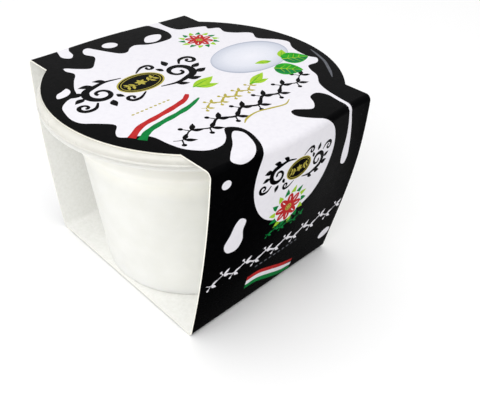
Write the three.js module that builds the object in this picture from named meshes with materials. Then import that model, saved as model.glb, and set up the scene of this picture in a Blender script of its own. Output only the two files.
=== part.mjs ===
// A shut pack of fresh burrata: a round tapered tub of white plastic, its press-fit lid, and a
// printed card sleeve wrapped round both. Millimetres, +Z up. The origin is the middle of the
// pack's base: the sleeve's panels face -Y and +Y, and its open ends face -X and +X.
import * as THREE from 'three';

// Driving dimensions of the card sleeve, outer faces.
const SLEEVE_HEIGHT = 70.1;
const SLEEVE_HALF_DEPTH_TOP = 49.0; // to the front or back panel at the top fold
const SLEEVE_HALF_DEPTH_BASE = 39.4;
const BASE_SPREAD = 0.6; // the base is this much deeper at its -X end, and shallower at its +X end
const SLEEVE_HALF_WIDTH_TOP = 34.85; // middle of the band to its cut edge
const SLEEVE_HALF_WIDTH_BASE = 36.1;
const SLEEVE_WIDTH_SWELL = 0.35; // the cut edges of the side panels curve out by this at mid height
const FRONT_RIGHT_LEAN = 3.0; // the front panel's +X edge leans in by this at the base
const EAR_RADIUS = 51.05; // the top panel's round ears
const EAR_OFFSET = 1.0; // the ears are cut from one circle, this far towards +X of the band
const CARD = 0.5;
const TOP_FOLD_RADIUS = 2.0;
const BASE_FOLD_RADIUS = 2.5;
const PANEL_BOW = 1.85; // how far a side panel bows out of the straight line from fold to fold
const PANEL_BOW_SKEW = 0.15; // above 0 the bow sits higher than mid height
const RIM_BULGE_FRONT = 2.4; // the lid pushes the middle of the front top fold out by this
const RIM_BULGE_BACK = 1.1; // and that of the back one by this
const RIM_BULGE_REACH = 35; // the push dies out this far along the fold
const RIM_BULGE_FULL_HEIGHT = 60; // it is full from this height up

// Driving dimensions of the tub and the lid.
const GAP = 0.3; // between pieces that touch
const OFF_CENTRE = 1.95; // the tub sits this far towards the sleeve's -X end
const SQUEEZE = 0.985; // the tight sleeve presses lid and tub a little oval, narrower in Y
const LID_RADIUS = 50.6;
const LID_CORNER_RADIUS = 1.4;
const LID_SKIRT_RADIUS = 50.2;
const LID_BEAD_HEIGHT = 0.9;
const LID_SKIRT_BOTTOM = 66.5;
const LID_SKIRT_WALL = 1.2;
const LID_TOP_WALL = 1.5;
const TUB_BASE_RADIUS = 33.5;
const TUB_BASE_ROUNDING = 2.0;
const STEP_BOTTOM = { r: 39.0, z: 51.2 }; // the stacking step that runs round the wall
const STEP_TOP = { r: 42.2, z: 56.4 };
const NECK_TOP = { r: 43.2, z: 65.7 };
const FLANGE_RADIUS = 50.2;
const FLANGE_BOTTOM = 65.1;
const FLANGE_LIP_WALL = 1.0;

// How finely each round is divided.
const LATHE_SEGMENTS = 88;
const FOLD_STEPS = 6;
const PANEL_STEPS = 14;
const EAR_STEPS = 14;
const SHOULDER_STEPS = 4;
const BASE_STEPS = 6;
const BAND_STEPS = 12;
const ROUNDING_STEPS = 4;

// The whole pack is centred on the origin, so the sleeve moves a little the other way.
const SLEEVE_X = (LID_RADIUS + OFF_CENTRE - EAR_RADIUS - EAR_OFFSET) / 2;
const SLEEVE_Y = (RIM_BULGE_FRONT - RIM_BULGE_BACK) / 2;
const TUB_X = SLEEVE_X - OFF_CENTRE;

// ---- Card sleeve ----

// Outer half depth of the side panels at height z, and its slope.
function panelDepth(z) {
  const t = z / SLEEVE_HEIGHT;
  const straight = SLEEVE_HALF_DEPTH_BASE + (SLEEVE_HALF_DEPTH_TOP - SLEEVE_HALF_DEPTH_BASE) * t;
  return straight + 4 * PANEL_BOW * t * (1 - t) * (1 + PANEL_BOW_SKEW * (2 * t - 1));
}

function panelSlope(z) {
  const step = 0.01;
  return (panelDepth(z + step) - panelDepth(z - step)) / (2 * step);
}

// Height on the side panel where a fold of this radius starts, when the fold's centre is at
// height centreZ: the panel's inward normal there passes through the centre.
function foldStart(radius, centreZ) {
  let z = centreZ;
  for (let i = 0; i < 8; i += 1) {
    const slope = panelSlope(z);
    z = centreZ - (radius * slope) / Math.hypot(1, slope);
  }
  return z;
}

// Half of the sleeve's section, from the middle of the base panel to the middle of the top
// panel, as points of the outer face with their outward normals.
function halfSection() {
  const points = [];
  const add = (y, z, angle) => {
    points.push({ y, z, ny: Math.cos(angle), nz: Math.sin(angle) });
  };
  const panelAngle = (z) => Math.atan2(-panelSlope(z), 1);
  const foldCentreY = (radius, z) => panelDepth(z) - radius * Math.cos(panelAngle(z));

  const lowZ = foldStart(BASE_FOLD_RADIUS, BASE_FOLD_RADIUS);
  const lowY = foldCentreY(BASE_FOLD_RADIUS, lowZ);
  for (let i = 0; i < BASE_STEPS; i += 1) {
    add((lowY * i) / BASE_STEPS, 0, -Math.PI / 2);
  }
  for (let i = 0; i < FOLD_STEPS; i += 1) {
    const angle = THREE.MathUtils.lerp(-Math.PI / 2, panelAngle(lowZ), i / FOLD_STEPS);
    const y = lowY + BASE_FOLD_RADIUS * Math.cos(angle);
    const z = BASE_FOLD_RADIUS + BASE_FOLD_RADIUS * Math.sin(angle);
    add(y, z, angle);
  }

  const highCentreZ = SLEEVE_HEIGHT - TOP_FOLD_RADIUS;
  const highZ = foldStart(TOP_FOLD_RADIUS, highCentreZ);
  const highY = foldCentreY(TOP_FOLD_RADIUS, highZ);
  for (let i = 0; i < PANEL_STEPS; i += 1) {
    const z = THREE.MathUtils.lerp(lowZ, highZ, i / PANEL_STEPS);
    add(panelDepth(z), z, panelAngle(z));
  }
  for (let i = 0; i < FOLD_STEPS; i += 1) {
    const angle = THREE.MathUtils.lerp(panelAngle(highZ), Math.PI / 2, i / FOLD_STEPS);
    const y = highY + TOP_FOLD_RADIUS * Math.cos(angle);
    const z = highCentreZ + TOP_FOLD_RADIUS * Math.sin(angle);
    add(y, z, angle);
  }

  const earAngle = Math.acos((SLEEVE_HALF_WIDTH_TOP - EAR_OFFSET) / EAR_RADIUS);
  const earY = EAR_RADIUS * Math.sin(earAngle);
  for (let i = 0; i < SHOULDER_STEPS; i += 1) {
    add(THREE.MathUtils.lerp(highY, earY, i / SHOULDER_STEPS), SLEEVE_HEIGHT, Math.PI / 2);
  }
  for (let i = 0; i <= EAR_STEPS; i += 1) {
    const y = EAR_RADIUS * Math.sin(earAngle * (1 - i / EAR_STEPS));
    add(y, SLEEVE_HEIGHT, Math.PI / 2);
  }
  return points;
}

// Half width of the card at a point of the section, to its edge on the -X or +X side: the band's
// cut edge, or the round ears.
function halfWidth(y, z, side) {
  const t = z / SLEEVE_HEIGHT;
  const straight = THREE.MathUtils.lerp(SLEEVE_HALF_WIDTH_BASE, SLEEVE_HALF_WIDTH_TOP, t);
  const low = (1 - THREE.MathUtils.smoothstep(z, 3, 52)) * THREE.MathUtils.smoothstep(-y, 10, 36);
  const lean = side > 0 ? FRONT_RIGHT_LEAN * low : 0;
  const band = straight + 4 * SLEEVE_WIDTH_SWELL * t * (1 - t) - lean;
  const onTop = z >= SLEEVE_HEIGHT;
  const ear = Math.sqrt(Math.max(0, EAR_RADIUS ** 2 - y ** 2)) + side * EAR_OFFSET;
  return onTop ? Math.max(band, ear) : band;
}

// How far a point of the panels and the base moves out because the base isn't quite square.
function baseSpread(x, y, z) {
  const share = (SLEEVE_X - x) / SLEEVE_HALF_WIDTH_BASE;
  return (y / SLEEVE_HALF_DEPTH_BASE) * BASE_SPREAD * share * (1 - z / SLEEVE_HEIGHT);
}

// The lid's push on a fold: full at the rim's height, fading down the panel, along the fold
// and in from the edge of the top panel.
function rimBulge(x, y, z) {
  const along = THREE.MathUtils.clamp((x - TUB_X) / RIM_BULGE_REACH, -1, 1);
  const full = y < 0 ? RIM_BULGE_FRONT : RIM_BULGE_BACK;
  const push = full * Math.cos((along * Math.PI) / 2) ** 2;
  const height = THREE.MathUtils.smoothstep(z, 0, RIM_BULGE_FULL_HEIGHT);
  const edge = THREE.MathUtils.smoothstep(Math.abs(y), 0, SLEEVE_HALF_DEPTH_TOP - TOP_FOLD_RADIUS);
  return Math.sign(y) * push * height * edge;
}

// The sleeve is one closed loop of card. Its net is a ring whose own section runs across the outer
// face and back across the inner one, and each point of that net is then put in its place.
function sleeveGeometry() {
  const half = halfSection();
  const mirrored = half.slice(1, -1).reverse().map((p) => ({ ...p, y: -p.y, ny: -p.ny }));
  const section = [...half, ...mirrored];
  const faceSteps = BAND_STEPS + 1;
  const geometry = new THREE.TorusGeometry(2, 1, 2 * faceSteps, section.length);
  const { position, uv } = geometry.attributes;
  for (let i = 0; i < position.count; i += 1) {
    const { y, z, ny, nz } = section[Math.round(uv.getX(i) * section.length) % section.length];
    const step = Math.round(uv.getY(i) * 2 * faceSteps) % (2 * faceSteps);
    const inner = step >= faceSteps;
    const across = (2 * (step % faceSteps)) / BAND_STEPS - 1; // -1 and 1 at the cut edges
    const inset = inner ? CARD : 0;
    const turn = inner ? -across : across;
    const x = SLEEVE_X + turn * halfWidth(y, z, Math.sign(turn));
    const pushed = y + rimBulge(x, y, z) + baseSpread(x, y, z);
    position.setXYZ(i, x, SLEEVE_Y + pushed - inset * ny, z - inset * nz);
  }
  geometry.computeVertexNormals();
  return geometry;
}

// ---- Tub and lid ----

// A solid turned about the tub's axis from its profile of [radius, height] pairs, then squeezed.
function turned(profile) {
  const points = profile.map(([r, z]) => new THREE.Vector2(r, z));
  const geometry = new THREE.LatheGeometry(points, LATHE_SEGMENTS);
  geometry.rotateX(Math.PI / 2);
  geometry.scale(1, SQUEEZE, 1);
  return geometry;
}

// Points of a quarter round, from the angle start to the angle end in degrees.
function rounding(centreR, centreZ, radius, start, end) {
  const points = [];
  for (let i = 0; i <= ROUNDING_STEPS; i += 1) {
    const angle = THREE.MathUtils.degToRad(start + ((end - start) * i) / ROUNDING_STEPS);
    points.push([centreR + radius * Math.cos(angle), centreZ + radius * Math.sin(angle)]);
  }
  return points;
}

const LID_TOP = SLEEVE_HEIGHT - CARD - GAP;
const LID_UNDERSIDE = LID_TOP - LID_TOP_WALL;
const LID_INNER_RADIUS = LID_SKIRT_RADIUS - LID_SKIRT_WALL;

// The filled tub, solid up to the rim that the lid is pressed onto.
function tubProfile() {
  const bottom = CARD + GAP;
  const flangeTop = LID_SKIRT_BOTTOM - GAP;
  const rimRadius = LID_INNER_RADIUS - GAP;
  const stepBend = 0.25 * (STEP_TOP.z - STEP_BOTTOM.z);
  return [
    [0, bottom],
    ...rounding(TUB_BASE_RADIUS - TUB_BASE_ROUNDING, bottom + TUB_BASE_ROUNDING, TUB_BASE_ROUNDING, -90, 0),
    [STEP_BOTTOM.r, STEP_BOTTOM.z],
    [STEP_BOTTOM.r + 0.5, STEP_BOTTOM.z + stepBend],
    [STEP_TOP.r - 0.5, STEP_TOP.z - stepBend],
    [STEP_TOP.r, STEP_TOP.z],
    [NECK_TOP.r, NECK_TOP.z],
    [FLANGE_RADIUS - FLANGE_LIP_WALL, NECK_TOP.z],
    [FLANGE_RADIUS - FLANGE_LIP_WALL, FLANGE_BOTTOM],
    [FLANGE_RADIUS, FLANGE_BOTTOM],
    [FLANGE_RADIUS, flangeTop],
    [rimRadius, flangeTop],
    [rimRadius, LID_UNDERSIDE - GAP],
    [0, LID_UNDERSIDE - GAP],
  ];
}

// The lid: a flat disc with a rounded corner, and a skirt that ends in a small bead.
function lidProfile() {
  const beadTop = LID_SKIRT_BOTTOM + LID_BEAD_HEIGHT;
  const beadSlant = 0.3;
  const corner = LID_CORNER_RADIUS;
  return [
    [0, LID_UNDERSIDE],
    [LID_INNER_RADIUS, LID_UNDERSIDE],
    [LID_INNER_RADIUS, LID_SKIRT_BOTTOM],
    [LID_RADIUS, LID_SKIRT_BOTTOM],
    [LID_RADIUS, beadTop - beadSlant],
    [LID_SKIRT_RADIUS, beadTop],
    ...rounding(LID_SKIRT_RADIUS - corner, LID_TOP - corner, corner, 0, 90),
    [0, LID_TOP],
  ];
}

// ---- The pack ----

const whitePlastic = new THREE.MeshStandardMaterial({ color: 0xf1f0e9, roughness: 0.35, metalness: 0 });
const lidPlastic = new THREE.MeshStandardMaterial({ color: 0xf5f4ee, roughness: 0.3, metalness: 0 });
const printedCard = new THREE.MeshStandardMaterial({ color: 0x15161a, roughness: 0.25, metalness: 0 });

const pack = new THREE.Group();

const tub = new THREE.Mesh(turned(tubProfile()), whitePlastic);
tub.name = 'tub';
tub.position.x = TUB_X;

const lid = new THREE.Mesh(turned(lidProfile()), lidPlastic);
lid.name = 'lid';
lid.position.x = TUB_X;

const sleeve = new THREE.Mesh(sleeveGeometry(), printedCard);
sleeve.name = 'sleeve';

pack.add(tub, lid, sleeve);

export default pack;
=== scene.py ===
import math

import bmesh
import bpy
import numpy as np
from mathutils import Matrix, Vector
from mathutils.geometry import delaunay_2d_cdt


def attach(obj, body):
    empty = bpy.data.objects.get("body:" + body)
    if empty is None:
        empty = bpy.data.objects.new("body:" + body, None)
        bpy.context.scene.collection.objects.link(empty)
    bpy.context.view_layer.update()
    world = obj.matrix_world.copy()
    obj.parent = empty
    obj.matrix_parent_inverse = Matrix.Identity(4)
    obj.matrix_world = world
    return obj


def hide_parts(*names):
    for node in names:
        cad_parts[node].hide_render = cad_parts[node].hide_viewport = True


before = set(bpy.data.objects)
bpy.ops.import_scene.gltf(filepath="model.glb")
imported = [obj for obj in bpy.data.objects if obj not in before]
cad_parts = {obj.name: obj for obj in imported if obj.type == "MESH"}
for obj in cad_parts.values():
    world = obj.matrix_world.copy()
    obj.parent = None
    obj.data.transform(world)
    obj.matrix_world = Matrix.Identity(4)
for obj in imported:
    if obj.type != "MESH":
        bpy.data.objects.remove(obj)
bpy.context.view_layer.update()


# ---- The studio ----
# A matt white table in a room with white walls, under a large softbox overhead and a smaller one to
# the left. The camera looks down at the pack's front left corner, as the photographer's did.
MM = 0.001  # every size in this script is in millimetres
TABLE_HALF_WIDTH = 20000


def linear(colour):
    """An sRGB hex colour as the linear RGBA that shaders take."""
    channels = [((colour >> shift) & 255) / 255 for shift in (16, 8, 0)]
    return (*[c / 12.92 if c <= 0.04045 else ((c + 0.055) / 1.055) ** 2.4 for c in channels], 1)


def add_node(tree, kind, inputs=None, **settings):
    """A node with its settings, and its inputs set to values or linked from other sockets."""
    node = tree.nodes.new(kind)
    for name, value in settings.items():
        setattr(node, name, value)
    for name, value in (inputs or {}).items():
        if isinstance(value, bpy.types.NodeSocket):
            tree.links.new(value, node.inputs[name])
        else:
            node.inputs[name].default_value = value
    return node


def new_material(name, colour, roughness, **sockets):
    """A Principled material of one colour and roughness, with any other sockets by name."""
    material = bpy.data.materials.new(name)
    material.use_nodes = True
    shader = material.node_tree.nodes["Principled BSDF"]
    shader.inputs["Base Color"].default_value = linear(colour)
    shader.inputs["Roughness"].default_value = roughness
    for socket, value in sockets.items():
        shader.inputs[socket.replace("_", " ")].default_value = value
    material.diffuse_color = linear(colour)
    return material


def new_object(name, bm, materials):
    """A piece in the scene from a bmesh in millimetres."""
    bmesh.ops.scale(bm, vec=(MM, MM, MM), verts=bm.verts)
    mesh = bpy.data.meshes.new(name)
    bm.to_mesh(mesh)
    bm.free()
    for material in materials:
        mesh.materials.append(material)
    mesh.shade_smooth()
    piece = bpy.data.objects.new(name, mesh)
    bpy.context.scene.collection.objects.link(piece)
    return piece


# Matt white paint: it takes a soft shadow and has no shine. The varnish doesn't mirror it, so that
# the black stays deep.
table_bm = bmesh.new()
bmesh.ops.create_grid(table_bm, x_segments=1, y_segments=1, size=TABLE_HALF_WIDTH)
table_top = new_object("table_top", table_bm, [new_material("matt_white_table", 0xFBFBFB, 0.9)])
table_top.visible_glossy = False

# White walls, brighter overhead than at eye level, and dimmer on the photographer's side. Below the
# horizon lies what the varnish mirrors in place of the table: bright behind the pack, and dark in
# front of it but for the right corner.
world = bpy.data.worlds.new("white_walls")
bpy.context.scene.world = world
world.use_nodes = True
walls = world.node_tree
sight = add_node(walls, "ShaderNodeTexCoord").outputs["Generated"]
towards = add_node(walls, "ShaderNodeSeparateXYZ", {"Vector": sight}).outputs
inputs = {"Value": towards["Y"], "From Min": -1.0, "From Max": 1.0, "To Min": 0.42, "To Max": 0.72}
eye_level = add_node(walls, "ShaderNodeMapRange", inputs).outputs["Result"]
inputs = {"Value": towards["Z"], "To Min": eye_level, "To Max": 1.08}
above = add_node(walls, "ShaderNodeMapRange", inputs, interpolation_type="SMOOTHSTEP").outputs["Result"]
inputs = {"Value": towards["X"], "From Min": 0.6, "From Max": 0.8, "To Min": 0.04, "To Max": 0.6}
corner = add_node(walls, "ShaderNodeMapRange", inputs, interpolation_type="SMOOTHSTEP").outputs["Result"]
inputs = {"Value": towards["Y"], "From Min": -0.1, "From Max": 0.35, "To Min": corner, "To Max": 0.9}
below = add_node(walls, "ShaderNodeMapRange", inputs, interpolation_type="SMOOTHSTEP").outputs["Result"]
inputs = {"Value": towards["Z"], "From Min": -0.08, "From Max": -0.03, "To Min": below, "To Max": above}
brightness = add_node(walls, "ShaderNodeMapRange", inputs).outputs["Result"]
walls.nodes["Background"].inputs["Color"].default_value = linear(0xFFFFFF)
walls.links.new(brightness, walls.nodes["Background"].inputs["Strength"])


def softbox(name, place, target, size, watts):
    """A square area light at a place, aimed at a target, both in millimetres."""
    light = bpy.data.lights.new(name, "AREA")
    light.shape = "SQUARE"
    light.size = size * MM
    light.energy = watts
    lamp = bpy.data.objects.new(name, light)
    lamp.location = Vector(place) * MM
    lamp.rotation_euler = (Vector(target) - Vector(place)).to_track_quat("-Z", "Y").to_euler()
    bpy.context.scene.collection.objects.link(lamp)


softbox("softbox_overhead", (-150, 120, 900), (0, 0, 30), 700, 0.3)
softbox("softbox_left", (-450, -140, 440), (0, 0, 30), 450, 1.5)

# The camera stands where the perspective of the sleeve's corners puts the photographer's.
CAMERA_AZIMUTH = math.radians(-44.586)
CAMERA_ELEVATION = math.radians(36.468)
CAMERA_ROLL = math.radians(1.811)
CAMERA_DISTANCE = 213.594
CAMERA_TARGET = Vector((-4.859, -29.386, 35.048))
CAMERA_LENS = 46.927
CAMERA_SENSOR = 36

away = Vector(
    (
        math.sin(CAMERA_AZIMUTH) * math.cos(CAMERA_ELEVATION),
        -math.cos(CAMERA_AZIMUTH) * math.cos(CAMERA_ELEVATION),
        math.sin(CAMERA_ELEVATION),
    )
)
sideways = (-away).cross(Vector((0, 0, 1))).normalized()
upward = sideways.cross(-away)
right = sideways * math.cos(CAMERA_ROLL) + upward * math.sin(CAMERA_ROLL)
up = upward * math.cos(CAMERA_ROLL) - sideways * math.sin(CAMERA_ROLL)
camera_data = bpy.data.cameras.new("camera")
camera_data.sensor_width = CAMERA_SENSOR
camera_data.lens = CAMERA_LENS
camera_data.clip_start = 0.005
camera = bpy.data.objects.new("camera", camera_data)
turn = Matrix((right, up, away)).transposed().to_4x4()
camera.matrix_world = Matrix.Translation((CAMERA_TARGET + away * CAMERA_DISTANCE) * MM) @ turn
bpy.context.scene.collection.objects.link(camera)
bpy.context.scene.camera = camera
bpy.context.scene.view_settings.view_transform = "Standard"


# ---- The tub ----
# A thin-walled injection-moulded pot of cloudy white polypropylene, full of pale liquid, so that
# it reads as solid. Its wall flares, steps out for stacking, and ends in a flange.
TUB_X = -1.7  # the tub stands a little towards the sleeve's left end
SQUEEZE = 0.985  # the sleeve presses tub and lid slightly oval
TURNED_STEPS = 180
TUB_BOTTOM = 0.52
TUB_BASE_RADIUS = 33.5
TUB_BASE_ROUNDING = 1.5
NECK_TOP = 65.7
FLANGE_RADIUS = 50.2
FLANGE_TOP = 66.5
RIM_RADIUS = 48.7
RIM_TOP = 67.5
# the painted step highlight and neck shade are laid out up to this height
PAINTED_LIGHT_HEIGHT = 70


def arc(centre_r, centre_z, radius, start, end, steps=6):
    """Points of a round in a profile, between two angles in degrees."""
    angles = [math.radians(start + (end - start) * i / steps) for i in range(steps + 1)]
    return [(centre_r + radius * math.cos(a), centre_z + radius * math.sin(a)) for a in angles]


def turned(name, profile, material, bevel):
    """A turned piece from its profile of (radius, height), with its sharp edges broken."""
    bm = bmesh.new()
    verts = [bm.verts.new((r, 0, z)) for r, z in profile]
    edges = [bm.edges.new(pair) for pair in zip(verts, verts[1:])]
    bmesh.ops.spin(
        bm, geom=verts + edges, cent=(0, 0, 0), axis=(0, 0, 1), dvec=(0, 0, 0),
        angle=2 * math.pi, steps=TURNED_STEPS, use_merge=True,
    )
    bmesh.ops.remove_doubles(bm, verts=bm.verts, dist=0.001)
    bmesh.ops.recalc_face_normals(bm, faces=bm.faces)
    bmesh.ops.scale(bm, vec=(1, SQUEEZE, 1), verts=bm.verts)
    bmesh.ops.translate(bm, vec=(TUB_X, 0, 0), verts=bm.verts)
    piece = new_object(name, bm, [material])
    edge = piece.modifiers.new("broken_edges", "BEVEL")
    edge.width = bevel * MM
    edge.segments = 3
    edge.limit_method = "ANGLE"
    edge.angle_limit = math.radians(20)
    edge.harden_normals = True
    return piece


def mottled(material, hollow, raised, grain, depth):
    """Colour, roughness and relief that vary together, with grains of a size in millimetres."""
    tree = material.node_tree
    shader = tree.nodes["Principled BSDF"]
    place = add_node(tree, "ShaderNodeTexCoord").outputs["Object"]
    inputs = {"Vector": place, "Scale": 1 / (grain * MM), "Detail": 3.0, "Roughness": 0.55}
    grains = add_node(tree, "ShaderNodeTexNoise", inputs).outputs["Fac"]
    inputs = {"Value": grains, "From Min": 0.3, "From Max": 0.7}
    share = add_node(tree, "ShaderNodeMapRange", inputs).outputs["Result"]
    tint = add_node(tree, "ShaderNodeMix", {"Factor": share}, data_type="RGBA")  # 6 and 7 are its colours
    tint.inputs[6].default_value = linear(hollow)
    tint.inputs[7].default_value = linear(raised)
    tree.links.new(tint.outputs[2], shader.inputs["Base Color"])
    rough = shader.inputs["Roughness"].default_value
    inputs = {"Value": share, "To Min": rough + 0.06, "To Max": rough - 0.06}
    gloss = add_node(tree, "ShaderNodeMapRange", inputs).outputs["Result"]
    tree.links.new(gloss, shader.inputs["Roughness"])
    inputs = {"Height": grains, "Strength": 1.0, "Distance": depth * MM}
    relief = add_node(tree, "ShaderNodeBump", inputs).outputs["Normal"]
    tree.links.new(relief, shader.inputs["Normal"])
    return tint


# Cloudy polypropylene, injection moulded: satin, with a skin that light sinks a few millimetres into,
# so that its shades are soft. The mottling is the melt's faint flow marks, about 9 mm wide.
cloudy_polypropylene = new_material(
    "cloudy_polypropylene", 0xEBEAE3, 0.38, IOR=1.49,
    Subsurface_Weight=0.8, Subsurface_Scale=7 * MM, Subsurface_Radius=(1.0, 0.98, 0.92),
)
tint = mottled(cloudy_polypropylene, 0xF5F5F1, 0xFAFAF7, 9.0, 0.02)

# Painted light and shade over the wall, by height: a painted highlight on the stacking step, where the
# ledge catches the most light, and painted shade in the greyer neck under the flange, with the wall
# slightly paler low down.
tree = cloudy_polypropylene.node_tree
place = add_node(tree, "ShaderNodeTexCoord").outputs["Object"]
height = add_node(tree, "ShaderNodeSeparateXYZ", {"Vector": place}).outputs["Z"]
inputs = {"Value": height, "From Max": PAINTED_LIGHT_HEIGHT * MM}
height = add_node(tree, "ShaderNodeMapRange", inputs).outputs["Result"]
step_light_and_neck_shade = add_node(tree, "ShaderNodeValToRGB", {"Fac": height})
step_light_and_neck_shade.color_ramp.elements[0].color = linear(0xF7F7F6)
step_light_and_neck_shade.color_ramp.elements[1].color = linear(0xE4E2DA)
for level, shade in (
    (46, 0xF2F2F0), (51.5, 0xFFFEF9), (56, 0xFFFDF8), (57.5, 0xF4F3EF), (62, 0xF4F3EF), (64, 0xEFEEE9),
):
    step_light_and_neck_shade.color_ramp.elements.new(level / PAINTED_LIGHT_HEIGHT).color = linear(shade)
# The painted light and shade multiply the wall's own mottled colour.
shaded_tint = add_node(tree, "ShaderNodeMix", data_type="RGBA", blend_type="MULTIPLY")
shaded_tint.inputs[0].default_value = 1.0
tree.links.new(tint.outputs[2], shaded_tint.inputs[6])
tree.links.new(step_light_and_neck_shade.outputs["Color"], shaded_tint.inputs[7])
tree.links.new(shaded_tint.outputs[2], tree.nodes["Principled BSDF"].inputs["Base Color"])

base_centre = (TUB_BASE_RADIUS - TUB_BASE_ROUNDING, TUB_BOTTOM + TUB_BASE_ROUNDING)
tub_profile = [
    (0, TUB_BOTTOM),
    *arc(*base_centre, TUB_BASE_ROUNDING, -90, -6.5),
    (38.9, 50.9), (39.3, 51.8), (41.9, 55.6), (42.25, 56.6),  # the stacking step
    (43.2, NECK_TOP),
    (FLANGE_RADIUS - 1.0, NECK_TOP), (FLANGE_RADIUS - 1.0, 65.1), (FLANGE_RADIUS, 65.1),  # its lip
    (FLANGE_RADIUS, FLANGE_TOP),
    (RIM_RADIUS, FLANGE_TOP), (RIM_RADIUS, RIM_TOP),
    (0, RIM_TOP),
]
tub = turned("moulded_tub", tub_profile, cloudy_polypropylene, 0.2)
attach(tub, "root")
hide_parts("tub")


# ---- The lid ----
# A press-fit lid of white polyethylene, injection moulded: a flat disc with a rounded corner, and a
# skirt that grips the tub's rim and ends in a small rolled bead.
LID_TOP = 69.58
LID_UNDERSIDE = 67.8
LID_INNER_RADIUS = 49.0
LID_SKIRT_RADIUS = 50.2
LID_SKIRT_BOTTOM = 66.5
LID_BEAD_RADIUS = 0.4
LID_CORNER_RADIUS = 1.4

# Polyethylene has a waxy skin, which gives a soft gloss. Its faint flow marks are about 5 mm wide.
waxy_polyethylene = new_material(
    "waxy_polyethylene", 0xEAE9E3, 0.32, IOR=1.51,
    Subsurface_Weight=0.4, Subsurface_Scale=4 * MM, Subsurface_Radius=(1.0, 0.97, 0.88),
)
mottled(waxy_polyethylene, 0xD2D0C8, 0xD9D7CF, 5.0, 0.015)
lid_profile = [
    (0, LID_UNDERSIDE),
    (LID_INNER_RADIUS, LID_UNDERSIDE), (LID_INNER_RADIUS, LID_SKIRT_BOTTOM),
    *arc(LID_SKIRT_RADIUS, LID_SKIRT_BOTTOM + 0.45, LID_BEAD_RADIUS, -60, 60),
    (LID_SKIRT_RADIUS, 67.5),
    *arc(LID_SKIRT_RADIUS - LID_CORNER_RADIUS, LID_TOP - LID_CORNER_RADIUS, LID_CORNER_RADIUS, 0, 90),
    (0, LID_TOP),
]
lid = turned("pressed_lid", lid_profile, waxy_polyethylene, 0.15)
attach(lid, "root")
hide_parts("lid")


# ---- The card sleeve ----
# One strip of coated carton, wrapped round the pack and glued end to end under the base. It is
# drawn flat, as it leaves the die cutter, and then folded: u runs across the strip, and s along
# it from the middle of the top panel, towards the front panel above 0 and the back one below.
SLEEVE_X = 0.25
SLEEVE_Y = 0.65
SLEEVE_HEIGHT = 70.1
HALF_DEPTH_TOP = 49.0
HALF_DEPTH_BASE = 39.4
BASE_SPREAD = 0.6  # the base is a little deeper at its left end
PANEL_BOW = 1.85  # a side panel bows out of the straight line from fold to fold
PANEL_BOW_SKEW = 0.15  # and most above its mid height
TOP_FOLD_RADIUS = 2.0
BASE_FOLD_RADIUS = 2.5
BULGE_FRONT = 2.38  # the lid pushes the top folds out
BULGE_BACK = 1.08
BULGE_REACH = 35  # and the push dies out this far along them
BULGE_RISE = 60  # it grows from the base up to this height
BACK_PULL = 0.6  # the ends of the back fold sit this much further in
BASE_CURL = 0.4  # the base's left cut edge curls up from the table
CURL_START = (31.5, 36)  # it grows between these distances to the left of the middle
CURL_END = (33, 39)  # and dies out between these ones towards the folds
CARD = 0.5
EAR_RADIUS = 51.05
EAR_OFFSET = 1.0  # the circle of the ears is centred this far to the right
EAR_ENDS = (36.34, 38.21)  # where the left and the right ear run into the cut edge
HALF_WIDTH_TOP = 34.85
HALF_WIDTH_BASE = 36.1
WIDTH_SWELL = 0.35  # the panels' cut edges curve out by this at mid height
FRONT_RIGHT_LEAN = 3.0  # the front panel's right edge leans in towards the base
LEAN_HEIGHT = (3, 52)  # all of it up to the lower height, and none from the upper one
LEAN_DEPTH = (10, 36)  # on the base it grows between these distances from the middle
FOLD_STEPS = 32
PANEL_STEPS = 160


def panel_depth(z):
    """How far a side panel stands from the middle at a height."""
    t = z / SLEEVE_HEIGHT
    straight = HALF_DEPTH_BASE + (HALF_DEPTH_TOP - HALF_DEPTH_BASE) * t
    return straight + 4 * PANEL_BOW * t * (1 - t) * (1 + PANEL_BOW_SKEW * (2 * t - 1))


def panel_angle(z):
    """The angle above level at which the panel faces there."""
    h = 0.01
    return math.atan2(-(panel_depth(z + h) - panel_depth(z - h)) / (2 * h), 1)


def fold_start(radius, centre_z):
    """Height at which a fold of this radius leaves the side panel."""
    z = centre_z
    for _ in range(8):
        z = centre_z + radius * math.sin(panel_angle(z))
    return z


def half_section():
    """The sleeve's section from the top's middle to the base's, as rows of (s, y, z, angle)."""
    low = fold_start(BASE_FOLD_RADIUS, BASE_FOLD_RADIUS)
    high = fold_start(TOP_FOLD_RADIUS, SLEEVE_HEIGHT - TOP_FOLD_RADIUS)
    low_y = panel_depth(low) - BASE_FOLD_RADIUS * math.cos(panel_angle(low))
    high_y = panel_depth(high) - TOP_FOLD_RADIUS * math.cos(panel_angle(high))
    rows = [(0, SLEEVE_HEIGHT, math.pi / 2), (high_y, SLEEVE_HEIGHT, math.pi / 2)]
    for t in np.linspace(0, 1, FOLD_STEPS + 1)[1:]:
        a = math.pi / 2 + (panel_angle(high) - math.pi / 2) * t
        z = SLEEVE_HEIGHT - TOP_FOLD_RADIUS * (1 - math.sin(a))
        rows.append((high_y + TOP_FOLD_RADIUS * math.cos(a), z, a))
    for z in np.linspace(high, low, PANEL_STEPS + 1)[1:]:
        rows.append((panel_depth(z), z, panel_angle(z)))
    for t in np.linspace(0, 1, FOLD_STEPS + 1)[1:]:
        a = panel_angle(low) + (-math.pi / 2 - panel_angle(low)) * t
        z = BASE_FOLD_RADIUS * (1 + math.sin(a))
        rows.append((low_y + BASE_FOLD_RADIUS * math.cos(a), z, a))
    rows.append((0, 0, -math.pi / 2))
    rows = np.array(rows)
    s = np.concatenate([[0], np.cumsum(np.hypot(*np.diff(rows[:, :2], axis=0).T))])
    return np.column_stack([s, rows])


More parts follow.
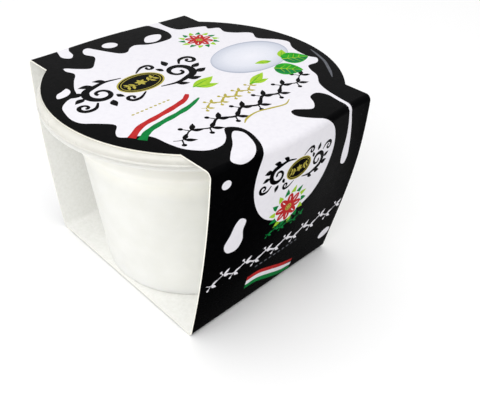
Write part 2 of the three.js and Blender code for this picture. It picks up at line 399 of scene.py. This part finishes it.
SECTION = half_section()
LOOP = SECTION[-1, 0]  # from the top's middle to the glued seam under the base
TOP_FOLD = tuple(SECTION[[1, 1 + FOLD_STEPS], 0])
BASE_FOLD = tuple(SECTION[[1 + FOLD_STEPS + PANEL_STEPS, 1 + 2 * FOLD_STEPS + PANEL_STEPS], 0])


def ease(value, start, end):
    """0 before start, 1 after end, and smooth between them."""
    t = np.clip((value - start) / (end - start), 0, 1)
    return t * t * (3 - 2 * t)


def bulge(x, y, z):
    """How far the lid and the uneven base push the card out at a point of the folded strip."""
    middle = np.cos(np.clip((x - TUB_X) / BULGE_REACH, -1, 1) * math.pi / 2) ** 2
    push = np.where(y < 0, BULGE_FRONT * middle, BULGE_BACK * middle - BACK_PULL * (1 - middle))
    push *= ease(z, 0, BULGE_RISE) * ease(np.abs(y), 0, HALF_DEPTH_TOP - TOP_FOLD_RADIUS)
    spread = BASE_SPREAD * (SLEEVE_X - x) / HALF_WIDTH_BASE * (1 - z / SLEEVE_HEIGHT)
    return np.sign(y) * push + y / HALF_DEPTH_BASE * spread


def folded(u, s, inset=0.0):
    """Where points of the flat strip go once it is folded, and which way they face."""
    u, s = np.asarray(u, float), np.asarray(s, float)
    side = np.where(s >= 0, -1.0, 1.0)
    y = side * np.interp(np.abs(s), SECTION[:, 0], SECTION[:, 1])
    z = np.interp(np.abs(s), SECTION[:, 0], SECTION[:, 2])
    angle = np.interp(np.abs(s), SECTION[:, 0], SECTION[:, 3])
    x = SLEEVE_X + u
    h = 0.05
    along_x = (bulge(x + h, y, z) - bulge(x - h, y, z)) / (2 * h)
    along_y = (bulge(x, y + h, z) - bulge(x, y - h, z)) / (2 * h)
    along_z = (bulge(x, y, z + h) - bulge(x, y, z - h)) / (2 * h)
    ny = side * np.cos(angle) / (1 + along_y)
    normal = np.stack([-along_x * ny, ny, np.sin(angle) - along_z * ny], axis=-1)
    normal /= np.linalg.norm(normal, axis=-1, keepdims=True)
    curl_up = BASE_CURL * ease(-u, *CURL_START) * (1 - ease(np.abs(y), *CURL_END)) * (z < 1)
    place = np.stack([x, y + bulge(x, y, z) + SLEEVE_Y, z + curl_up], axis=-1)
    return place - inset * normal, normal


def half_width(s, sign):
    """Half the strip's width at s, on its left (-1) or right (1) edge."""
    y = np.interp(abs(s), SECTION[:, 0], SECTION[:, 1])
    z = np.interp(abs(s), SECTION[:, 0], SECTION[:, 2])
    t = z / SLEEVE_HEIGHT
    band = HALF_WIDTH_BASE + (HALF_WIDTH_TOP - HALF_WIDTH_BASE) * t + 4 * WIDTH_SWELL * t * (1 - t)
    if sign > 0 and s > 0:
        band -= FRONT_RIGHT_LEAN * (1 - ease(z, *LEAN_HEIGHT)) * ease(y, *LEAN_DEPTH)
    if z < SLEEVE_HEIGHT - 1e-6:
        return band
    return max(band, math.sqrt(max(0, EAR_RADIUS**2 - y**2)) + sign * EAR_OFFSET)


# Its print is black and white cow hide in offset ink, with small ornaments in gold, red and green,
# all under one gloss varnish. Each ink is a flat field with its own outline on the flat strip.
BLACK, WHITE, RED, GREEN, GOLD, LIME, LEAF, MILK, GREY, INSIDE, EDGE = range(11)
PRINT = []  # (ink, outline) from the lowest to the topmost


def curve(points, closed=True, steps=4):
    """A smooth line through the points."""
    p = np.array(points, float)
    if closed:
        p = np.vstack([p[-1], p, p[0], p[1]])
    else:
        p = np.vstack([2 * p[0] - p[1], p, 2 * p[-1] - p[-2]])
    out = []
    for a, b, c, d in zip(p, p[1:], p[2:], p[3:]):
        k0, k1, k2 = [max(1e-6, np.hypot(*(q - r)) ** 0.5) for q, r in ((b, a), (c, b), (d, c))]
        t1 = (b - a) / k0 - (c - a) / (k0 + k1) + (c - b) / k1
        t2 = (c - b) / k1 - (d - b) / (k1 + k2) + (d - c) / k2
        t1, t2 = t1 * k1, t2 * k1
        for i in range(steps):
            t = i / steps
            out.append(
                (2 * t**3 - 3 * t**2 + 1) * b + (t**3 - 2 * t**2 + t) * t1
                + (3 * t**2 - 2 * t**3) * c + (t**3 - t**2) * t2
            )
    if not closed:
        out.append(p[-2])
    return np.array(out)


def ink(colour, outline):
    """A field of one ink over those before it."""
    PRINT.append((colour, np.asarray(outline, float)))


def splash(colour, points):
    """A field with a smooth outline through the points."""
    ink(colour, curve(points))


def oval(colour, u, s, half_u, half_s, tilt=0, steps=36):
    """An oval about (u, s), turned by tilt in degrees."""
    a = np.linspace(0, 2 * math.pi, steps, endpoint=False)
    c, d = math.cos(math.radians(tilt)), math.sin(math.radians(tilt))
    p, q = half_u * np.cos(a), half_s * np.sin(a)
    ink(colour, np.column_stack([u + c * p - d * q, s + d * p + c * q]))


def brush(colour, points, widths, steps=5):
    """A stroke along a smooth line, as wide at each point as widths says."""
    line = curve(points, False, steps)
    w = np.interp(np.linspace(0, 1, len(line)), np.linspace(0, 1, len(widths)), widths) / 2
    run = np.gradient(line, axis=0)
    side = np.column_stack([-run[:, 1], run[:, 0]]) / np.hypot(*run.T)[:, None] * w[:, None]
    ink(colour, np.vstack([line + side, (line - side)[::-1]]))


def leaf(colour, stalk, tip, width, bend=0.0):
    """A pointed leaf from its stalk to its tip."""
    stalk, tip = np.array(stalk, float), np.array(tip, float)
    t = np.linspace(0, 1, 12)
    half = width / 2 * np.sin(math.pi * t**0.85) ** 1.1
    bow = bend * width * np.sin(math.pi * t)
    along = np.concatenate([t, t[-2:0:-1]])[:, None]
    across = np.concatenate([bow + half, (bow - half)[-2:0:-1]])[:, None]
    run = tip - stalk
    ink(colour, stalk + along * run + across * np.array([-run[1], run[0]]) / np.hypot(*run))


def placed(points, u, s, size=1.0, tilt=0.0, flip=1):
    """An ornament's own points, mirrored, scaled and turned, then moved to (u, s)."""
    p = np.array(points, float) * (flip * size, size)
    c, d = math.cos(math.radians(tilt)), math.sin(math.radians(tilt))
    return np.column_stack([u + c * p[:, 0] - d * p[:, 1], s + d * p[:, 0] + c * p[:, 1]])


# The hide: one large white field over the top panel, with a tongue down the front.
splash(WHITE, [
    (-47, 0), (-46.3, -5), (-45.1, -8.5), (-41.5, -11.6), (-37.4, -13.1), (-35.5, -17.4),
    (-32.6, -22.4), (-29.4, -27.2), (-30.6, -31.0), (-30.0, -33.3), (-26.1, -29.5), (-22.6, -27.2),
    (-19.2, -30.3), (-16.5, -34.5), (-18.1, -38.5), (-16.3, -42), (-14.3, -42.3), (-12.6, -39.3),
    (-10.3, -34.7), (-7.6, -30.5), (-5.2, -30.0), (-2.2, -32.4), (0.7, -33.3), (4.9, -30.9),
    (10.7, -30.1), (15.7, -31.2), (18.0, -35.5), (18, -40.5), (17.0, -44.5), (15.5, -52), (13.5, -60),
    (16, -68), (21.5, -72), (25.5, -67), (25, -59), (22.3, -51), (21.3, -44.7), (21.8, -39.3),
    (23.2, -36.2), (27.2, -35.1), (32.2, -33.2), (33.4, -32.2), (32.7, -29.9), (36.5, -27.8),
    (35.5, -23.5), (37.6, -20.1), (42.0, -16.6), (42.9, -14.9), (40.8, -10.8), (41.4, -9.0),
    (45.7, -4.3), (47.5, 0.3), (44.9, 4.2), (43.4, 8.5), (43.0, 14.5), (44.2, 17.4), (41.5, 20.0),
    (36.8, 19.9), (34.8, 22.6), (33, 27.2), (28.8, 31.8), (26.8, 36.5), (25.7, 41.5), (24.9, 47),
    (24.9, 50.5), (25.9, 54.5), (27, 59.8), (27.8, 65), (28.1, 69.3), (27.0, 71.7), (24.9, 70.8),
    (24.2, 67.5), (24.6, 59.8), (24.3, 54.5), (23.5, 49.8), (23.8, 44), (24.4, 38.8), (22.6, 35.5),
    (19, 35.7), (16.7, 39), (13.6, 41.1), (10.3, 38.8), (8.4, 37.4), (6.6, 37.6), (5.8, 40.1),
    (8, 43.8), (11.8, 48), (15.7, 52.4), (17.3, 58.2), (16.7, 64), (13.6, 71.4), (8.3, 76.6),
    (-3, 79), (-11, 76.3), (-16.0, 70.8), (-18.8, 62.9), (-18.5, 56.1), (-16.2, 49), (-13.6, 44.2),
    (-11.8, 38), (-12.4, 34.2), (-15.5, 32.1), (-19.2, 36.7), (-22.6, 39.3), (-27.4, 39.4),
    (-32, 35.1), (-33.8, 29.9), (-34.7, 24.2), (-36.3, 21.5), (-40.5, 19.2), (-42.4, 17.2),
    (-41.5, 14.8), (-38.9, 11.2), (-42.4, 6.9), (-46.0, 3.6),
])
splash(WHITE, [  # the drop over the front fold
    (-14.9, 35.1), (-13.4, 37), (-14, 40.7), (-16.2, 45.4), (-19.8, 48.8), (-24, 49.5), (-26.7, 47.7),
    (-24.5, 44.7), (-20.3, 40.7), (-16.8, 36.3),
])
splash(WHITE, [
    (-43.2, -14.6), (-42.0, -17.2), (-39.6, -18.3), (-37.3, -19.3), (-37.4, -16.6), (-39.9, -14.5),
])
splash(WHITE, [
    (-17.6, -51), (-20.5, -53.5), (-23.4, -50), (-24.6, -46.2), (-25.6, -41.5), (-23.5, -39.1),
    (-21.5, -40.8), (-20.6, -45),
])
oval(WHITE, -6.5, -39.1, 3.0, 2.4, 15)
splash(WHITE, [(5.3, -33), (8.2, -37.2), (11.8, -37.8), (14.3, -36.4), (12.4, -33.3), (8.7, -31.6)])
oval(WHITE, -29.3, 54.3, 1.7, 1.5)
splash(WHITE, [
    (-22.9, 69.6), (-20.6, 71.3), (-21.3, 75), (-20.9, 79.5), (-22.7, 82.8), (-26.4, 82.4),
    (-28.2, 78.7), (-26.2, 74.9), (-24.7, 71.2),
])
oval(WHITE, 29.4, 108.0, 3.2, 2.4, -20)

# The hide on the back panel and the base, which the photo doesn't show.
splash(WHITE, [
    (-29, -60), (-22, -57), (-14, -61), (-9, -68), (-12, -75), (-20, -77), (-24, -84), (-31, -82),
    (-34, -73), (-32, -66),
])
splash(WHITE, [
    (-6, -78), (2, -75), (11, -79), (13, -88), (6, -95), (2, -103), (-6, -102), (-9, -93), (-5, -86),
])
splash(WHITE, [(22, -84), (29, -82), (33, -89), (29, -97), (22, -96), (19, -90)])
splash(WHITE, [(-27, -95), (-21, -93), (-18, -99), (-22, -106), (-28, -105), (-31, -100)])
oval(WHITE, 17, -106, 3.2, 2.2, 20)
oval(WHITE, -3, -64, 2.2, 1.7, -15)
splash(WHITE, [(-6, -152), (4, -149), (9, -141), (3, -132), (-8, -130), (-14, -138), (-12, -147)])
splash(WHITE, [(20, -126), (30, -130), (32, -138), (25, -142), (18, -136)])
oval(WHITE, -26, -141, 3.4, 2.2, 25)
splash(WHITE, [
    (-30, 126), (-18, 130), (-10, 127), (-4, 134), (-10, 143), (-21, 141), (-27, 146), (-33, 138),
])
splash(WHITE, [(14, 146), (22, 141), (30, 144), (32, 151), (24, 155), (16, 153)])

# The tricolour ribbon below the scrolls, in uneven strokes of a brush on white, and a smaller one low
# on the front.
brush(
    RED, [(-39.8, 20.3), (-34, 16.6), (-27, 15.0), (-19, 13.2), (-13, 11.3), (-10.1, 9.0)],
    [2.6, 2.1, 2.3, 1.9, 2.2, 1.8, 2.2, 1.9, 2.1, 1.6, 1.8, 1.2],
)
brush(
    GREEN, [(-38.2, 23.2), (-34.5, 20.6), (-29, 18.9), (-22, 17.5), (-15, 15.8), (-8.8, 13.2)],
    [3.0, 2.3, 2.5, 1.9, 2.2, 1.8, 2.2, 1.7, 2.1, 1.5, 1.4, 0.6],
)
wave = [(-13.4, 104.4), (-8.0, 104.6), (-1.2, 107.4), (5.6, 110.4), (12.2, 112.0)]
for colour, drop, width in ((RED, 0, 2.3), (WHITE, 2.2, 2.5), (GREEN, 4.4, 2.3)):
    brush(colour, [(u, s + drop) for u, s in wave], [width * 0.9, width, width, width, width * 0.6])


def curl(u, s, radius, start, sweep, steps):
    """Points of a spiral that winds in from its outer end, with angles in degrees."""
    out = []
    for i in range(steps + 1):
        a = math.radians(start + sweep * i / steps)
        r = radius * (1 - 0.82 * i / steps)
        out.append((u + r * math.cos(a), s - r * math.sin(a)))
    return out


def medallion(u, s, size, tilt):
    """A black oval with two gold rims, and in it a gold blossom between two leafy twigs."""
    rims = ((GOLD, 9.2, 6.3), (BLACK, 8.6, 5.7), (GOLD, 7.9, 5.1), (BLACK, 7.6, 4.8))
    for colour, half_u, half_s in rims:
        oval(colour, u, s, size * half_u, size * half_s, tilt)
    for i in range(6):
        a = math.radians(60 * i + 30)
        petal = placed([(0, 0), (2.3 * math.cos(a), 2.3 * math.sin(a))], u, s, size, tilt)
        leaf(GOLD, *petal, size * 1.2)
    for flip in (-1, 1):
        twig = [(2.3, 0.9), (4.2, 0.1), (6.6, -0.9)]
        brush(GOLD, placed(twig, u, s, size, tilt, flip), [size * 0.32, size * 0.3, size * 0.2])
        for x, y, side in ((2.9, 0.6, -1), (3.5, 0.4, 1), (4.6, 0.0, -1), (5.2, -0.2, 1)):
            pair = placed([(x, y), (x + 1.3, y + 2.3 * side)], u, s, size, tilt, flip)
            leaf(GOLD, *pair, size * 1.15)


def scrolls(u, s, size, tilt):
    """Black leafy scrolls to the right of a medallion, and the same ones, turned over, to its left."""
    large = [(3.0, 7.6), (9.5, 9.2)] + curl(16.0, 2.6, 6.0, -100, 470, 12)
    outer = [(20.6, -2.0), (23.2, -4.6)] + curl(26.0, -2.2, 2.9, 100, -400, 8)
    inner = [(3.4, -6.8), (7.2, -9.0)] + curl(9.8, -7.2, 2.3, 110, -390, 8)
    for turn in (0, 180):
        for line, widths in (
            (large, [0.6, 1.68, 2.76, 3.12, 2.88, 2.4, 1.92, 1.68, 1.56, 1.44, 1.32, 1.56]),
            (outer, [0.72, 1.56, 1.92, 1.8, 1.56, 1.32, 1.2, 1.2, 1.44]),
            (inner, [0.6, 1.44, 1.68, 1.56, 1.32, 1.2, 1.08, 1.32]),
        ):
            brush(BLACK, placed(line, u, s, size, tilt + turn), [size * w for w in widths])
        for stalk, tip, width in (
            ((8.6, 9.2), (12.6, 12.6), 2.5), ((14.2, 9.2), (19.4, 11.6), 2.9),
            ((20.2, 7.0), (25.8, 7.2), 3.1), ((22.0, 3.4), (27.0, 2.2), 2.6),
            ((15.6, -3.8), (17.6, -8.6), 2.8), ((12.2, -1.2), (11.0, -4.8), 2.2),
        ):
            leaf(BLACK, *placed([stalk, tip], u, s, size, tilt + turn), size * width, 0.12)


def vine(colour, start, end, swing, waves, width, leaf_size):
    """A running vine, with two leaves and a stalked berry at each of its bends."""
    length = math.hypot(end[0] - start[0], end[1] - start[1])
    tilt = math.degrees(math.atan2(end[1] - start[1], end[0] - start[0]))
    t = np.linspace(0, 1, 8 * waves + 1)
    stem = np.column_stack([t * length, swing * np.sin(2 * math.pi * waves * t)])
    brush(colour, placed(stem, *start, 1.0, tilt), [width * 0.3, width, width, width * 0.3], 3)
    for i in range(2 * waves):
        way = 1 if i % 2 == 0 else -1
        x, y = length * (i + 0.5) / (2 * waves), swing * way
        for forward, out, size in ((0.72, 0.62 * way, 1.0), (0.78, -0.52 * way, 0.9)):
            tip = (x + leaf_size * size * forward, y + leaf_size * size * out)
            leaf(colour, *placed([(x, y), tip], *start, 1.0, tilt), leaf_size * 0.4 * size, 0.12)
        stalk = [(x - 0.1 * leaf_size, y), (x - 0.42 * leaf_size, y + 0.55 * leaf_size * way)]
        stalk = placed(stalk, *start, 1.0, tilt)
        brush(colour, stalk, [width * 0.5, width * 0.4], 2)
        oval(colour, *stalk[1], width * 0.75, width * 0.75, 0, 12)


def basil(u, s, length, width, angle):
    """A round basil leaf: one half in shade, a pale midrib, and veins to both sides."""
    tip = (u + length * math.cos(math.radians(angle)), s + length * math.sin(math.radians(angle)))
    t = np.linspace(0, 1, 16)
    half = width / 2 * np.sin(math.pi * t**0.75) ** 0.75
    rim = np.column_stack([np.append(t, t[-2:0:-1]) * length, np.append(half, -half[-2:0:-1])])
    ink(LEAF, placed(rim, u, s, 1.0, angle))
    shaded_half = np.column_stack([np.append(t, 0) * length, np.append(0.85 * half, 0)])
    ink(GREEN, placed(shaded_half, u, s, 1.0, angle))
    for x in (0.22, 0.42, 0.62):
        for side in (-1, 1):
            reach = 0.36 * width * math.sin(math.pi * x**0.75)
            vein = [(x * length, 0), ((x + 0.16) * length, side * reach)]
            brush(LIME, placed(vein, u, s, 1.0, angle), [0.28, 0.12], 2)
    brush(LIME, [(u, s), tip], [0.5, 0.15], 3)


def flower(u, s, radius):
    """A red flower with a gold heart, in a ring of green and lime leaves."""
    for i in range(14):
        a = math.radians(360 * (i + 0.5) / 14)
        b = a + math.radians(13)
        stalk = (u + 0.7 * radius * math.cos(a), s + 0.7 * radius * math.sin(a))
        tip = (u + 1.5 * radius * math.cos(b), s + 1.5 * radius * math.sin(b))
        leaf(GREEN if i % 2 else LIME, stalk, tip, 0.36 * radius)
    oval(WHITE, u, s, 1.02 * radius, 1.02 * radius)
    for i in range(8):
        a = math.pi / 4 * i
        c, d = radius * math.cos(a), radius * math.sin(a)
        oval(RED, u + 0.58 * c, s + 0.58 * d, 0.42 * radius, 0.24 * radius, math.degrees(a), 20)
        leaf(WHITE, (u + 0.45 * c, s + 0.45 * d), (u + 0.85 * c, s + 0.85 * d), 0.07 * radius)
    oval(GOLD, u, s, 0.24 * radius, 0.24 * radius, 0, 20)
    seed = 0.04 * radius
    for i in range(6):
        a = math.pi / 3 * i
        oval(BLACK, u + 0.15 * radius * math.cos(a), s + 0.15 * radius * math.sin(a), seed, seed, 0, 8)


# The top panel's ornaments: a medallion in scrolls, a row of gold grains, a small gold vine over a
# large black one and its flourish, an oval like a pool of milk with leaves by it, a flower, and a
# grey streak on the right ear, which is a painted highlight of the varnish's glare.
scrolls(-16.2, -7.4, 0.92, -4)
medallion(-16.2, -7.4, 0.98, -4)
for i in range(9):
    leaf(GOLD, (-32 + 1.75 * i, 9.3 - 0.1 * i), (-30.7 + 1.75 * i, 9.3 - 0.1 * i), 0.8)
vine(GOLD, (-13, 19.0), (11.5, 18.2), 0.8, 4, 0.75, 2.7)
vine(BLACK, (-32, 29.4), (31.5, 24.4), 1.3, 6, 1.05, 4.4)
brush(
    GOLD, [(-9.2, 33.4), (-6.8, 31.8), (-1.5, 30.8), (3.8, 32), (9.2, 33.3), (12.4, 32.1)],
    [0.3, 0.8, 0.6, 0.8, 0.6, 0.3],
)
MILK_POOL = (26.6, 0.6)  # its middle on the strip
MILK_POOL_SIZE = (16.6, 11.8)  # and half its width and depth
oval(MILK, *MILK_POOL, *MILK_POOL_SIZE, -4, 60)
for stalk, tip, width in (
    ((29.4, 8.6), (23.2, 6.4), 3.0), ((34.4, 8.8), (39.8, 3.8), 3.4),
    ((-5.5, 6.5), (5.2, 4.4), 4.4), ((-4.4, 7.2), (3.2, 9.6), 3.0),
    ((10.5, 16.8), (20.4, 13.2), 3.6), ((11.6, 16.6), (18.4, 17.8), 2.6),
):
    leaf(LIME, stalk, tip, width, 0.06)
    midrib = [stalk, (0.25 * stalk[0] + 0.75 * tip[0], 0.25 * stalk[1] + 0.75 * tip[1])]
    brush(LEAF, midrib, [0.4, 0.12], 3)
basil(25.8, 13.4, 10.4, 9.4, 48)
basil(33.6, 9.8, 10.4, 9.4, 26)
flower(22.4, -23.0, 5.4)
# A painted highlight: the varnish's glare along the right ear's edge, drawn as a grey stroke.
brush(
    GREY, [(36, 31.5), (38.8, 28.4), (41.5, 24.9), (44.2, 21.1), (47.2, 14.2), (48.4, 10.7)],
    [0.3, 1.0, 1.1, 1.0, 0.8, 0.3],
)

# The front panel's ornaments: a smaller medallion in scrolls, a flower over a short green vine, a
# white vine across the black, and a row of grey grains.
scrolls(-0.8, 60.0, 0.56, -3)
medallion(-0.8, 60.0, 0.6, -3)
flower(-2.2, 75.2, 5.8)
vine(GREEN, (-10.5, 83.4), (7.5, 83.4), 0.5, 3, 0.5, 2.2)
vine(WHITE, (-33.4, 93.6), (33.4, 94.6), 1.1, 7, 0.7, 3.2)
for i in range(10):
    leaf(GREY, (-11 + 2.2 * i, 99.4 - 0.05 * i), (-9.4 + 2.2 * i, 99.4 - 0.05 * i), 0.9)


# The strip is cut along its outline and the print's, folded, and glued where its two ends meet. Its
# UV map is the flat strip, with its outer skin on the left.
UV_SPAN = 320  # millimetres of card from side to side of the map
UV_MIDDLE = (52, 157)  # where the top panel's middle lies on it, in millimetres
UV_INNER = 0.34  # the inner skin lies this share of the map further right
UV_EDGE = (0.7, 0.71)  # and the cut edge here, to the right of both


def strip_outline():
    """The die-cut outline of the flat strip, with more points round its folds and ears."""
    finer = np.concatenate([EAR_ENDS, np.linspace(*TOP_FOLD, 9), np.linspace(*BASE_FOLD, 13)])
    stations = np.unique(np.concatenate([np.linspace(-LOOP, LOOP, 210), finer, -finer]))
    right_edge = [(half_width(s, 1), s) for s in stations]
    left_edge = [(-half_width(s, -1), s) for s in stations[::-1]]
    return np.array(right_edge + left_edge)


def inside(points, outline):
    """Which points lie inside an outline, by its winding number."""
    turns = np.zeros(len(points), int)
    x, y = points[:, 0], points[:, 1]
    for (x0, y0), (x1, y1) in zip(outline, np.roll(outline, -1, axis=0)):
        left = (x1 - x0) * (y - y0) - (x - x0) * (y1 - y0)
        turns += ((y0 <= y) & (y1 > y) & (left > 0)).astype(int)
        turns -= ((y0 > y) & (y1 <= y) & (left < 0)).astype(int)
    return turns != 0


def cut_strip():
    """The flat strip as triangles, cut along every outline: points, triangles and their inks."""
    outlines = [strip_outline()] + [outline for _, outline in PRINT]
    points, edges = [], []
    for outline in outlines:
        first = len(points)
        points += [Vector(p) for p in outline]
        edges += [(first + i, first + (i + 1) % len(outline)) for i in range(len(outline))]
    # A grid of points between the outlines lets the card bend, with closer rows in the folds.
    rows = np.concatenate([
        np.linspace(0, TOP_FOLD[0], 20), np.linspace(*TOP_FOLD, 9)[1:],
        np.linspace(TOP_FOLD[1], BASE_FOLD[0], 30)[1:], np.linspace(*BASE_FOLD, 13)[1:],
        np.linspace(BASE_FOLD[1], LOOP, 8)[1:],
    ])
    for s in np.unique(np.concatenate([rows, -rows])):
        for u in np.linspace(-50, 50, 43):
            width = half_width(s, 1 if u > 0 else -1)
            if abs(u) < width - 0.5:
                points.append(Vector((u, s)))
    flat, _, faces, *_ = delaunay_2d_cdt(points, edges, [], 0, 1e-4, False)
    flat = np.array([tuple(p) for p in flat])
    faces = np.array(faces)
    middles = flat[faces].mean(axis=1)
    keep = inside(middles, outlines[0])
    faces, middles = faces[keep], middles[keep]
    inks = np.full(len(faces), BLACK)
    for colour, outline in PRINT:
        low, high = outline.min(axis=0), outline.max(axis=0)
        near = np.nonzero(((middles >= low) & (middles <= high)).all(axis=1))[0]
        inks[near[inside(middles[near], outline)]] = colour
    return flat, faces, inks


def build_sleeve(materials):
    """The folded strip as one closed skin: printed outside, bare inside, with a cut edge between."""
    flat, faces, inks = cut_strip()
    bm = bmesh.new()
    uv_layer = bm.loops.layers.uv.new("flat_strip")
    outer, _ = folded(flat[:, 0], flat[:, 1])
    inner, _ = folded(flat[:, 0], flat[:, 1], CARD)
    used = np.unique(faces)
    skins = [{i: bm.verts.new(skin[i]) for i in used} for skin in (outer, inner)]
    for face, colour in zip(faces.tolist(), inks.tolist()):
        for skin, slot, order in ((0, colour, -1), (1, INSIDE, 1)):
            made = bm.faces.new([skins[skin][i] for i in face[::order]])
            made.material_index = slot
            for loop, i in zip(made.loops, face[::order]):
                uv = (flat[i] + UV_MIDDLE) / UV_SPAN
                loop[uv_layer].uv = (uv[0] + UV_INNER * skin, uv[1])
    flat_s = {vert: flat[i][1] for skin in skins for i, vert in skin.items()}
    partner = {skins[0][i]: skins[1][i] for i in used}
    for edge in [e for e in bm.edges if e.is_boundary and e.verts[0] in partner]:
        if all(abs(abs(flat_s[vert]) - LOOP) < 5e-4 for vert in edge.verts):
            continue  # the glued seam has no cut edge
        loop = edge.link_loops[0]
        a, b = loop.vert, loop.link_loop_next.vert
        made = bm.faces.new([b, a, partner[a], partner[b]])
        made.material_index = EDGE
        for corner, x in zip(made.loops, np.repeat(UV_EDGE, 2)):
            corner[uv_layer].uv = (x, (flat_s[corner.vert] + UV_MIDDLE[1]) / UV_SPAN)
    bmesh.ops.remove_doubles(bm, verts=bm.verts, dist=0.002)
    return new_object("printed_sleeve", bm, materials)


def set_sleeve_normals(mesh):
    """Both skins shade as the smooth folded card, and the cut edge as the flat rim it is."""
    uv = np.empty(len(mesh.loops) * 2)
    mesh.uv_layers[0].data.foreach_get("uv", uv)
    uv = uv.reshape(-1, 2)
    inner = uv[:, 0] > UV_INNER
    uv[inner, 0] -= UV_INNER
    _, normals = folded(*(uv * UV_SPAN - UV_MIDDLE).T)
    normals[inner] *= -1
    for face in mesh.polygons:
        if face.material_index == EDGE:
            normals[list(face.loop_indices)] = face.normal
    mesh.normals_split_custom_set(normals.tolist())


# Offset inks under gloss varnish: full flat colours, and a clear skin that mirrors the studio only
# faintly, so that the black stays black. The card's fibres are 0.02 mm wide, too fine to show, so
# they are drawn 0.9 to 2.4 mm wide, as a faint orange peel in the varnish. The bare card inside is
# matt and takes soft shade, and the cut edge shows the carton's rougher and creamier core, both with
# their fibres drawn coarser too. Each row gives the shades of the hollows and of the raised fibres,
# the roughness, and the fibres' width and relief in millimetres.
varnish = {"IOR": 1.5, "Specular_IOR_Level": 0.016}
card_materials = []
for name, hollow, raised, roughness, grain, depth, sockets in (
    ("varnished_black_ink", 0x020203, 0x050506, 0.3, 1.6, 0.006, varnish),  # the hide, deep black
    ("varnished_white_ink", 0xE2E0E6, 0xE8E6EB, 0.3, 1.6, 0.006, varnish),  # its splashes, cool white
    ("varnished_red_ink", 0xAC1E22, 0xBE3230, 0.3, 1.6, 0.006, varnish),
    ("varnished_green_ink", 0x0A7034, 0x12823F, 0.3, 1.6, 0.006, varnish),
    ("varnished_gold_ink", 0xA0943A, 0xBAAE50, 0.3, 0.9, 0.006, varnish),  # finely speckled
    ("varnished_lime_ink", 0x8FBC2C, 0xA6CC34, 0.3, 1.6, 0.006, varnish),
    ("varnished_leaf_ink", 0x0E8614, 0x36AE2A, 0.3, 2.4, 0.006, varnish),  # blotched, as basil is
    ("varnished_milk_ink", 0xC9D1DC, 0xD1D9E4, 0.3, 1.6, 0.006, varnish),
    # grey: printed grains on the front, and the painted glare on the right ear
    ("varnished_grey_ink_and_painted_glare", 0x585A60, 0x66686E, 0.3, 1.6, 0.006, varnish),
    ("bare_card_inside", 0xECECE8, 0xF4F4F1, 0.85, 1.1, 0.03, {}),
    ("cut_card_edge", 0xEAE7DA, 0xF6F4EC, 0.9, 0.5, 0.03, {}),
):
    material = new_material(name, raised, roughness, **sockets)
    card_materials.append(material)
    tint = mottled(material, hollow, raised, grain, depth)
    if name == "varnished_milk_ink":  # pale in the middle of its oval and bluer towards the rim
        tree = material.node_tree
        strip = add_node(tree, "ShaderNodeTexCoord").outputs["UV"]
        half_u, half_s = MILK_POOL_SIZE
        middle_u, middle_s = MILK_POOL[0] + UV_MIDDLE[0], MILK_POOL[1] + UV_MIDDLE[1]
        inputs = {
            "Vector": strip,
            "Scale": (UV_SPAN / half_u, UV_SPAN / half_s, 0),
            "Location": (-middle_u / half_u, -middle_s / half_s, 0),
        }
        on_pool = add_node(tree, "ShaderNodeMapping", inputs).outputs["Vector"]
        middle = add_node(tree, "ShaderNodeTexGradient", {"Vector": on_pool}, gradient_type="SPHERICAL")
        ramp = add_node(tree, "ShaderNodeValToRGB", {"Fac": middle.outputs["Fac"]})
        ramp.color_ramp.elements[0].color = linear(0xA5ABBB)
        ramp.color_ramp.elements[1].color = linear(0xE5E5EC)
        for position, shade in ((0.07, 0xC5C9D5), (0.4, 0xDADCE5)):
            ramp.color_ramp.elements.new(position).color = linear(shade)
        tree.links.new(ramp.outputs["Color"], tint.inputs[6])
        tree.links.new(ramp.outputs["Color"], tint.inputs[7])
sleeve = build_sleeve(card_materials)
set_sleeve_normals(sleeve.data)
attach(sleeve, "root")
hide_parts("sleeve")
